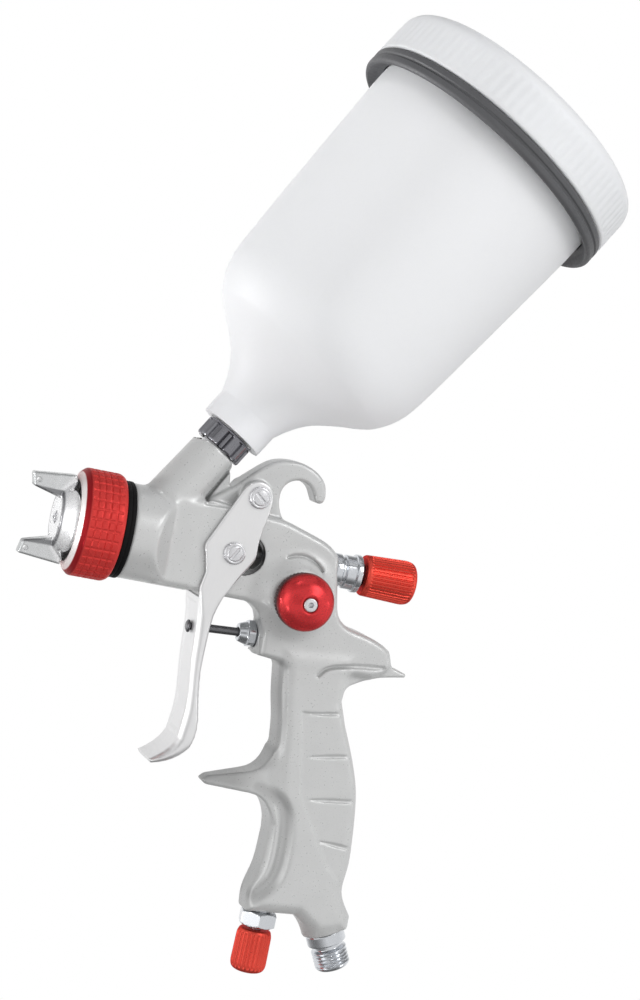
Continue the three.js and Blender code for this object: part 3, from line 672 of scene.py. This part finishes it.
def trigger_field(X, Y, Z):
    """Field of the trigger: a plate folded to a channel that is open towards the grip."""
    rounding = 0.6 + 2.0 * np.clip((-14 - Z) / 10, 0, 1)
    d = both(flat_distance(TRIGGER, X, Z), np.abs(Y) - PLATE_OUT, rounding)
    d = blend_max(d, -slab(HOLLOW, PLATE_IN, 1.0, X, Y, Z), 0.3)
    dish = np.hypot(np.maximum(np.abs(Y) - 5.0, 0), flat_distance(HOLLOW, X, Z) - 3.1)
    d = blend_max(d, np.where((Z < -20) & (Z > -66), 1.6 - dish, -9), 0.8)
    for line, radius in ((PIVOT_LINE, PIVOT_BORE_R), (CROSS_LINE, CROSS_BORE_R)):
        d = blend_max(d, -rod(line, radius, -20, 20, BORE_EDGE, X, Y, Z), 0.2)
    return blend_max(d, -rod(VALVE, 1.5, -30, -18, 0.1, X, Y, Z), 0.2)


trigger = sculpted("trigger_pressed", trigger_field, (-16, -12, -80), (12, 12, 28), 0.42)
fit(trigger, SATIN, "steel", "trigger")


def slotted(line, face, back, radius, angle):
    """A domed screw head that faces down the line, with a slot across it."""
    u, v = side_vectors(line[1])
    across = math.cos(angle) * u + math.sin(angle) * v

    def field(X, Y, Z):
        r, h = around(line, X, Y, Z)
        head = both(r - radius, np.maximum(face + 0.04 * r * r - h, h - back), 0.5)
        head = blend_max(head, 0.22 - np.hypot(r - 2.9, h - face - 0.3), 0.2)
        span = (X - line[0][0]) * across[0] + (Y - line[0][1]) * across[1] + (Z - line[0][2]) * across[2]
        slot = np.maximum(np.maximum(np.abs(span) - 0.4, h - face - 0.45), r - 2.4)
        return blend_max(head, -slot, 0.25)
    return field


def around_box(line, low, high, radius):
    """Corners of the box that holds a rod about a line along Y."""
    x, z = line[0][0], line[0][2]
    return (x - radius, low, z - radius), (x + radius, high, z + radius)


for name, line, nodes, angle in (
        ("pivot_screw_head", PIVOT_LINE, "trigger_pivot_screw", 0.7),
        ("cross_screw_head", CROSS_LINE, "trigger_cross_pin_screw", 2.1)):
    fit(sculpted(name, slotted(line, -12.95, -11.2, 4.0, angle), *around_box(line, -13.4, -10.8, 4.6), 0.16),
        STEEL, "steel", nodes)
for name, line, node, radius in (("pivot_pin_turned", PIVOT_LINE, "trigger_pivot_pin", 2.4),
                                 ("cross_pin_turned", CROSS_LINE, "trigger_cross_pin", 3.0)):
    fit(turned(name, line, [
        (0, -11.1), (radius, -11.1), (radius, 11.3), (4, 11.3, 0.3), (4, 12.3, 0.5), (3, 12.8, 0.6),
        (0, 12.8)],
        sides=48, closed=False), STEEL, "steel", node)
fit(turned("rivet_turned", VALVE, [(0, -26), (1.5, -25.9, 0.4), (2.3, -25.3, 0.3), (2.3, -24.8), (1.2, -24.8),
                                   (1.2, -22.9), (0, -22.9)], sides=32, closed=False), DARK_STEEL, "steel",
    "trigger_rivet")

# ---- spray head ---------------------------------------------------------------------------

fit(turned("collar_ring", BARREL, [
    (16.5, RING_REAR + 0.3), (17.3, RING_REAR + 0.3, 0.2), (17.3, -40.4, 0.2), (17.05, -40.1, 0.1),
    (17.3, -39.8, 0.2), (17.3, HEAD_STEP - 0.3, 0.2), (16.5, HEAD_STEP - 0.3)], sides=128),
    BLACK, "black", "head_collar")
fit(turned("nozzle_turned", BARREL, [
    (0.75, -63.8), (1.6, -63.8, 0.2), (1.9, -60.6, 0.5), (5.2, -55, 0.5), (8, -53), (8, -44.4), (5.2, -44.4),
    (5.2, -26.9), (2.4, -26.9), (2.4, -57.4), (0.75, -62.6)], sides=64), STEEL, "steel", "fluid_nozzle")

CAP_PROFILE = softened([
    (2.2, -63.2), (9.8, -63.2, 0.5), (13.6, -59.4, 0.6), (14.2, -58.6, 0.3), (14.2, -56), (15.7, -56),
    (15.7, -54.2), (12.4, -54.2), (12.4, -57.2), (8.6, -61.4), (2.2, -61.4)])
HORN = softened([
    (-57.5, 5.5), (-65, 7.4, 2), (-73.2, 9.6, 0.6), (-74.3, 14.4, 0.8), (-59, 15.9), (-58.4, 13),
    (-57.5, 12.6)])


def cap_field(X, Y, Z):
    """Field of the air cap: a cone with two horns, and its air holes."""
    r, h = around(BARREL, X, Y, Z)
    d = flat_distance(CAP_PROFILE, r, h + 0 * r)
    half = 3.5 - np.clip((-66 - X) / 8, 0, 1) * 0.7
    d = blend_min(d, both(flat_distance(HORN, X, np.abs(Z)), np.abs(Y) - half, 0.9), 0.8)
    upright = np.abs(Z)
    jet = np.hypot(X + 72.0, upright - 12.1) - 0.85
    d = blend_max(d, -jet, 0.2)
    for y, z, size in ((4.2, 6.4, 0.6), (6.6, 3.0, 0.6), (3.9, 0.0, 0.55), (6.2, 11.2, 1.2)):
        d = blend_max(d, size - np.hypot(np.abs(Y) - y, upright - z) + np.maximum(X + 59.5, 0) * 3, 0.2)
    return blend_max(d, 2.2 - np.hypot(Y, Z), 0.2)


def horn_shade(x, y, z):
    """Painted shade on the horns, which are darker than the cone, most of all along their edges."""
    edge = np.clip(1 + flat_distance(HORN, x, np.abs(z)) / 1.1, 0, 1)
    return (0.42 + 0.3 * edge) * np.clip((-62 - x) / 2 + (np.abs(z) - 11) / 3, 0, 1)


def rim_shade(x, y, z):
    """Painted shade: a dark rim round the cap's face."""
    r = np.hypot(y, z)
    return 0.85 * np.clip((-62.0 - x) / 0.4, 0, 1) * band(r, 8.4, 10.8)


# Colours of painted shade on the cap's horns and round its face.
HORN_SHADE_GREY, RIM_SHADE_GREY = (0.36, 0.38, 0.38), (0.10, 0.10, 0.11)
cap = sculpted("cap_machined", cap_field, (-75.2, -16.4, -16.6), (-53.6, 16.4, 16.6), 0.3, sharp=50)
fit(painted(cap, (HORN_SHADE_GREY, horn_shade), (RIM_SHADE_GREY, rim_shade)), CAP_METAL, "chrome", "air_cap")


def ring_relief(r, h, angle):
    """Square knurl on the ring's cylinder: grooves along it and round it."""
    across = groove(angle * RING_GROOVES / FULL_TURN, 0.3)
    along = groove((h + 50.4) / RING_GROOVE_PITCH, 0.26)
    return -0.34 * np.maximum(across, along) * band(h, -54.8, -43.4) * np.clip((r - 17.6) / 1.3, 0, 1)


def ring_lip(x, y, z):
    """The front lip of the ring, in shade."""
    return 0.85 * np.clip((-54.9 - x) / 0.5, 0, 1)


def ring_mouth(x, y, z):
    """The bright inner edge of the ring's front."""
    return np.clip((17.7 - np.hypot(y, z)) / 0.2, 0, 1) * (x < -50)


LIP_RED, MOUTH_WHITE = (0.24, 0.006, 0.012), (0.85, 0.83, 0.82)
ring = turned("ring_knurled", BARREL, [
    (14.6, -58, 0.2), (15.4, -58, 0.3), (17.8, -56.7, 0.3), (19.2, -55.2, 0.7), (19.2, -43.6, 0.8),
    (18.6, -42.4, 0.4), (18.2, RING_REAR, 0.3), (16.5, RING_REAR), (16.5, -56.4), (14.6, -56.4)],
    sides=12 * RING_GROOVES, relief=ring_relief, step=0.28)
fit(painted(ring, (LIP_RED, ring_lip), (MOUTH_WHITE, ring_mouth)), RED, "red_anodised", "air_cap_ring")

# ---- knobs and the rear nut ---------------------------------------------------------------


def ribs(count, depth, low, high, width=0.5, minimum=4.0):
    """Relief of ribs that run along the axis between two heights."""
    def relief(r, h, angle):
        cut = groove(angle * count / FULL_TURN, width)
        return -depth * cut * band(h, low, high, 0.8) * np.clip((r - minimum) / 1.0, 0, 1)
    return relief


fit(turned("fluid_knob_ribbed", BARREL, [
    (0, 63.4), (4.2, 63.4), (4.2, 51.8), (6.9, 51.8, 0.4), (7.5, 52.4, 0.6), (8.15, 68.8, 1.6),
    (7.2, 71.1, 1.4), (4.8, 71.5, 0.8), (0, 71.2)], sides=10 * REAR_KNOB_RIBS, closed=False,
    relief=ribs(REAR_KNOB_RIBS, 0.42, 53.4, 69.8, 0.55, 6.4),
    step=0.4), KNOB_RED, "red_anodised", "fluid_control_knob")
fit(turned("fluid_stem_turned", BARREL, [(0, 62), (2.9, 62), (2.9, 38), (3.9, 38), (3.9, 63, 0.3), (0, 63)],
           sides=48, closed=False), DARK_STEEL, "steel", "fluid_knob_stem")
fit(turned("rear_nut_turned", BARREL, [
    (4.2, 34), (5.1, 34), (5.1, NUT_FACE), (6.2, NUT_FACE, 0.3), (6.2, 42.8, 0.2), (5.5, 43.2, 0.2),
    (5.5, 44.2, 0.2), (6.2, 44.6, 0.2), (6.2, 48.1, 0.3), (7, 48.4, 0.3), (7, 50.3, 0.4),
    (4.2, 50.3)], sides=96),
    CHROME, "chrome", "fluid_adjuster_nut")


def fan_knob_relief(r, h, angle):
    """Fine grip ribs round the knob's flank."""
    return -0.25 * groove(angle * FAN_KNOB_RIBS / FULL_TURN, 0.6) * band(h, -20.6, -16.4) * (r > 9.4)


def fan_knob_flank(x, y, z):
    """Painted shade on the knob's flank, darkest towards the body."""
    return 0.9 * np.clip((y + 25) / 4, 0, 1)


# Colour of the painted shade on the fan knob's flank.
FLANK_SHADE_RED = (0.06, 0.002, 0.006)
fan_knob = turned("fan_knob_domed", FAN, [
    (2.4, -15.6), (9.0, -15.6, 0.5), (10.1, -17, 1.0), (10.5, -21.6, 2.0), (10.0, -25.0, 1.8),
    (7.7, -27.7, 2.0), (4.8, -28.8, 1.2), (3.3, -29.3, 0.5), (2.8, -28.9, 0.2), (2.8, -28.0), (1.3, -28),
    (1.3, -25.8), (2.4, -25.8)], sides=8 * FAN_KNOB_RIBS, relief=fan_knob_relief, step=0.5)
fit(painted(fan_knob, (FLANK_SHADE_RED, fan_knob_flank)), DOME_RED, "red_anodised", "fan_control_knob")


def fan_screw_field(X, Y, Z):
    """Field of the small domed screw that holds the fan knob."""
    r, h = around(FAN, X, Y, Z)
    d = both(r - 2.45, np.maximum(-29.6 + 0.05 * r * r - h, h + 28.3), 0.3)
    d = np.minimum(d, both(r - 1.0, np.maximum(-28.6 - h, h + 25.9), 0.1))
    return blend_max(d, 0.95 - np.hypot(r, np.maximum(h + 28.7, 0) * 1.2), 0.15)


fit(sculpted("fan_screw_head", fan_screw_field, *around_box(FAN, -30, -25.4, 3.0), 0.14, sharp=50),
    STEEL, "steel", "fan_knob_screw")
fit(turned("fan_bush_turned", FAN, [
    (2.4, -1), (4.9, -1), (4.9, -13.5), (6.6, -13.5, 0.3), (6.6, -14.7, 0.3), (2.4, -14.7)], sides=64),
    BRASS, "brass", "fan_control_bush")
fit(turned("air_knob_ribbed", AIR, [
    (0, -150), (4.4, -150, 0.8), (6.0, -149.1, 1.0), (6.6, -147.4, 1.0), (6.45, -136.2, 1.0),
    (5.8, -134.4, 0.6), (5.0, -134.2, 0.3), (2.2, -134.2), (2.2, -142.4), (0, -142.4)],
    sides=11 * AIR_KNOB_RIBS, closed=False, relief=ribs(AIR_KNOB_RIBS, 0.45, -148.6, -135.2, 0.6, 5.0),
    step=0.4), KNOB_RED, "red_anodised", "air_flow_knob")

# ---- fittings -----------------------------------------------------------------------------


def air_nut_field(X, Y, Z):
    """Field of the hexagonal valve body under the grip."""
    d = hexagon(AIR, 12.6, -133, -127.3, 0.25, X, Y, Z, turn=0.35)
    d = np.minimum(d, rod(AIR, 4.1, -128, -113, 0.1, X, Y, Z))
    return blend_max(d, 2.2 - around(AIR, X, Y, Z)[0], 0.1)


air_nut = sculpted("air_nut_machined", air_nut_field, (AIR_X - 8, -8, -133.6), (AIR_X + 8, 8, -112.5), 0.3,
                   sharp=30)
fit(air_nut, CHROME, "chrome", "air_flow_valve_body")


def valve_nut_field(X, Y, Z):
    """Field of the air valve's nut, with a tapered nose towards the trigger."""
    r, h = around(VALVE, X, Y, Z)
    d = hexagon(VALVE, 9.2, -3.7, -0.3, 0.2, X, Y, Z, turn=0.26)
    d = np.maximum(d, r - 5.0)
    d = np.minimum(d, rod(VALVE, (3.2, 4.3), -6.6, -3.4, 0.3, X, Y, Z))
    d = blend_max(d, 0.45 - np.hypot(r - 4.5, h + 4.0), 0.1)
    d = np.minimum(d, rod(VALVE, 4.3, -1, 5, 0.1, X, Y, Z))
    return blend_max(d, 1.9 - r, 0.1)


valve_at = VALVE[0]
fit(sculpted("valve_nut_machined", valve_nut_field, (valve_at[0] - 8, -6, valve_at[2] - 6.4),
             (valve_at[0] + 6, 6, valve_at[2] + 6.4), 0.2, sharp=30), CHROME, "chrome", "air_valve_nut")
fit(turned("valve_stem_turned", VALVE, [(0, -22.4), (1.5, -22.4, 0.3), (1.5, 13.5), (0, 13.5)], sides=32,
           closed=False), DARK_STEEL, "steel", "air_valve_stem")


def thread(low, high, pitch, depth):
    """Relief of a thread's ridges between two heights, on whatever is there."""
    def relief(r, h, angle):
        wave = 0.5 - 0.5 * np.cos(2 * math.pi * (h / pitch) + angle)
        return -depth * wave * band(h, low, high, 0.3) * (r > 6.2)
    return relief


fit(turned("inlet_fitting_threaded", INLET, [
    (3.4, -22), (5.1, -22), (5.1, -9.7), (7.2, -9.7, 0.4), (7.2, -5.4, 0.4), (5, -5, 0.3), (5, -3.4, 0.3),
    (6.58, -2.8, 0.2), (6.58, 3.4, 0.5), (5.7, 4.4, 0.2), (3.4, 4.4, 0.3)], sides=128,
    relief=thread(-2.6, 3.2, INLET_THREAD_PITCH, 0.7), step=0.2), CHROME, "chrome", "air_inlet_fitting")


def cup_nut_relief(r, h, angle):
    """Broad flutes round the cup's nut."""
    flute = groove(angle * CUP_NUT_FLUTES / FULL_TURN + 0.3, 0.55)
    return -1.5 * flute * band(h, 40.0, 47.2, 0.3) * (r > 8.0)


fit(turned("cup_nut_fluted", CUP, [
    (6.6, 40.6), (9.0, 40.6, 0.4), (9.3, 41.2, 0.3), (9.3, 47.5, 0.3), (8.9, 48, 0.3), (6.6, 48)], sides=240,
    relief=cup_nut_relief, step=0.4), NUT_METAL, "chrome", "cup_nut")
fit(turned("cup_connector_turned", CUP, [
    (4.2, 29), (6.2, 29), (6.2, 48.6), (8.9, 48.6, 0.3), (8.9, 54), (4.2, 54)], sides=64), STEEL, "steel",
    "cup_connector")

# ---- paint cup ----------------------------------------------------------------------------

CUP_WALL = spline([
    (12.4, 57.0), (14.8, 62.6), (18.9, 69), (25.7, 75.2), (34, 81.4), (37.8, 85.4), (41.4, 92.4), (43.2, 102),
    (44.9, 130), (46.2, 155), (47.2, 176)], steps=6)
cup_outer = [(12.3, 48.4), (12.35, 50.0), *CUP_WALL, (47.4, 199)]
cup_inner = [(r - CUP_THICKNESS, h if h > 190 else h + CUP_THICKNESS / 2)
             for r, h in reversed(cup_outer) if h > 60]
fit(turned("cup_moulded", CUP, [(9.2, 48.4), *cup_outer, *cup_inner, (9.2, 59)], sides=160, sharp=50),
    NYLON, "nylon", "cup")
fit(turned("seal_ring_moulded", CUP, [
    (47.8, 183), (49.6, 182.2, 0.5), (51.8, 179.6, 0.4), (52.9, 179.6, 0.4), (53.6, 180.6, 0.4),
    (53.6, 182.6, 0.2), (53.1, 183.0, 0.2), (53.1, 183.5, 0.2), (53.6, 183.9, 0.2), (53.6, 185.7, 0.4),
    (53, 186.3, 0.3),
    (47.8, 186.3)], sides=200), SEAL, "seal", "cup_seal_ring")


def lid_relief(r, h, angle):
    """Faint grip ribs round the lid's skirt."""
    grip = 0.22 * groove(angle * LID_RIBS / FULL_TURN, 0.5) * band(h, LID_LOW + 1.6, LID_TOP - 5.2, 0.8)
    return -grip * (r > 52.2)


fit(turned("lid_moulded", CUP, [
    (0, 203), (45.6, 203), (49.8, 200, 2), (49.8, 186.6), (52.8, 186.6, 0.3), (53.6, 187.2, 0.4),
    (53.6, 188.4, 0.3), (53.5, 200.4, 1.4), (52.4, 203.4, 1.6), (49.4, 205.4, 1.4), (46.6, 206, 0.8),
    (44.6, 205.9, 0.6), (43.8, 205.2, 0.4), (20, 205.2), (12, 205.2, 0.5), (11.4, 205.8, 0.3),
    (9.8, 205.8, 0.4), (9.2, 205.2, 0.3), (2.2, 205.2, 0.3), (2.2, 204.8), (0, 204.8)],
    sides=6 * LID_RIBS, closed=False, relief=lid_relief, step=1.4),
    SHADED_LID_NYLON, "nylon", "cup_lid")

# The CAD nodes that stay in view are inside the gun and the cup, and share one steel finish.
for piece in frame["nodes"].values():
    if piece.hide_render:
        continue
    piece.data.materials.clear()
    piece.data.materials.append(STEEL)

# ---- camera, light and floor --------------------------------------------------------------

CAMERA_RIGHT, CAMERA_UP = (0.93511, -0.28589, 0.20937), (-0.18536, 0.10891, 0.97662)
CAMERA_BACK = (-0.30201, -0.95205, 0.04885)
CAMERA_OFFSET = (-0.24168, -0.85768, 0.0678)

eye = bpy.data.objects.new("camera_main", bpy.data.cameras.new("camera_main"))
camera_place = Matrix((CAMERA_RIGHT, CAMERA_UP, CAMERA_BACK)).transposed().to_4x4()
camera_place.translation = Vector(ORIGIN) + Vector(CAMERA_OFFSET)
eye.matrix_world = camera_place
eye.data.lens = 90
eye.data.sensor_width = 36
eye.data.clip_end = 20
bpy.context.scene.collection.objects.link(eye)
bpy.context.scene.camera = eye

GUN_MIDDLE = Vector((0.0, 0.0, -0.02))
CUP_MIDDLE = Vector(ORIGIN) + Vector((0.040, 0, 0.139))


def hang(name, data, azimuth, elevation, distance, centre):
    """Hangs a light at an azimuth from the near side and an elevation, in degrees, turned to centre."""
    a, e = math.radians(azimuth), math.radians(elevation)
    away = Vector((math.sin(a) * math.cos(e), -math.cos(a) * math.cos(e), math.sin(e)))
    made = bpy.data.objects.new(name, data)
    made.location = centre + away * distance
    made.rotation_mode = "QUATERNION"
    made.rotation_quaternion = (-away).to_track_quat("-Z", "Y")
    bpy.context.scene.collection.objects.link(made)


def lamp(name, azimuth, elevation, distance, size, power):
    """A rectangular soft light that looks at the gun."""
    data = bpy.data.lights.new(name, "AREA")
    data.shape = "RECTANGLE"
    data.size, data.size_y = size
    data.energy = power
    hang(name, data, azimuth, elevation, distance, GUN_MIDDLE)


def cup_lamp(name, azimuth, elevation, power, distance=1.2, cone=12):
    """A narrow soft-edged light aimed at the cup; these stand in for its translucency."""
    data = bpy.data.lights.new(name, "SPOT")
    data.energy = power
    data.spot_size = math.radians(cone)
    data.spot_blend = 0.45
    data.shadow_soft_size = 0.15
    hang(name, data, azimuth, elevation, distance, CUP_MIDDLE)


lamp("key_light", 34, 34, 1.3, (0.55, 0.55), 3.4)
lamp("top_light", 10, 70, 1.1, (0.7, 0.6), 0.6)
cup_lamp("cup_left_light", -112, -8, 70)
cup_lamp("cup_low_light", -60, -30, 22, distance=1.1)
cup_lamp("cup_high_light", -60, 60, 8)
cup_lamp("cup_right_light", 70, 0, 6)

world = bpy.data.worlds.new("studio")
bpy.context.scene.world = world
world.use_nodes = True
nodes, links = world.node_tree.nodes, world.node_tree.links
nodes.clear()
sky_direction = nodes.new("ShaderNodeTexCoord")


def sky(toward, *stops):
    """Background whose brightness runs through (cosine from a direction, level) stops."""
    facing = nodes.new("ShaderNodeVectorMath")
    facing.operation = "DOT_PRODUCT"
    facing.inputs[1].default_value = toward
    links.new(sky_direction.outputs["Generated"], facing.inputs[0])
    rescale = nodes.new("ShaderNodeMapRange")
    rescale.inputs["From Min"].default_value = -1
    rescale.inputs["From Max"].default_value = 1
    links.new(facing.outputs["Value"], rescale.inputs["Value"])
    ramp = nodes.new("ShaderNodeValToRGB")
    ends = ramp.color_ramp.elements
    while len(ends) < len(stops):
        ends.new(0.5)
    for stop, (cosine, level) in zip(ends, stops):
        stop.position = (cosine + 1) / 2
        stop.color = (level, level, level, 1)
    links.new(rescale.outputs["Result"], ramp.inputs["Fac"])
    return ramp.outputs["Color"]


def times(a, b):
    """Product of two colours."""
    node = nodes.new("ShaderNodeVectorMath")
    node.operation = "MULTIPLY"
    links.new(a, node.inputs[0])
    links.new(b, node.inputs[1])
    return node.outputs["Vector"]


def background(color):
    """Background of one colour, or of a colour that another node gives."""
    node = nodes.new("ShaderNodeBackground")
    if isinstance(color, tuple):
        node.inputs["Color"].default_value = color
    else:
        links.new(color, node.inputs["Color"])
    return node.outputs["Background"]


def either(factor, a, b):
    """The first shader where the factor is 0, the second where it is 1."""
    node = nodes.new("ShaderNodeMixShader")
    links.new(factor, node.inputs["Fac"])
    links.new(a, node.inputs[1])
    links.new(b, node.inputs[2])
    return node.outputs["Shader"]


# Soft light for matt surfaces, a tent that is bright round the horizon for shiny ones, and white
# behind. The tent has a softbox beside the spray end and a gap where the camera stands.
TOWARD_CAMERA = (-0.302, -0.952, 0.049)
matt_levels = ((-1, 0.30), (-0.1, 0.03), (0.45, 0.40), (1, 1.28))
belt_levels = ((-1, 0.14), (-0.75, 0.18), (-0.4, 1), (0.4, 1), (0.75, 0.28), (1, 0.22))
softbox = sky((-0.966, -0.259, 0), (-1, 1), (0.93, 1), (0.975, 2.6), (1, 2.6))
matt = background(sky((0.15, -0.95, 0.25), *matt_levels))
belt = sky((0, 0, 1), *belt_levels)
front = sky((0, -1, 0), (-1, 1.0), (-0.3, 1), (0.3, 0.86), (1, 0.86))
gap = sky(TOWARD_CAMERA, (-1, 1), (0.955, 1), (0.99, 0.35), (1, 0.35))
tent = background(times(times(times(belt, softbox), front), gap))
plain = background((1, 1, 1, 1))
ray = nodes.new("ShaderNodeLightPath")
lit = either(ray.outputs["Is Glossy Ray"], matt, tent)
choose = either(ray.outputs["Is Camera Ray"], lit, plain)
output = nodes.new("ShaderNodeOutputWorld")
links.new(choose, output.inputs["Surface"])

FLOOR_RADIUS, FLOOR_DROP, FLOOR_GLOW = 0.9, 0.3, 0.35
floor_mesh = bpy.data.meshes.new("floor")
work = bmesh.new()
bmesh.ops.create_circle(work, cap_ends=True, segments=96, radius=FLOOR_RADIUS)
work.to_mesh(floor_mesh)
work.free()
floor = bpy.data.objects.new("floor", floor_mesh)
floor.location = (0, 0, cad_bounds[0].z - FLOOR_DROP)
floor.visible_glossy = False
bpy.context.scene.collection.objects.link(floor)
floor_look = finish("floor_finish", (0.9, 0.9, 0.9), 0.0, 0.7, grain=4, tint=0.01, bump=0.02)
floor_shader = floor_look.node_tree.nodes["Principled BSDF"]
floor_shader.inputs["Emission Color"].default_value = (1, 1, 1, 1)
floor_shader.inputs["Emission Strength"].default_value = FLOOR_GLOW
floor.data.materials.append(floor_look)

scene = bpy.context.scene
scene.view_settings.view_transform = "Standard"
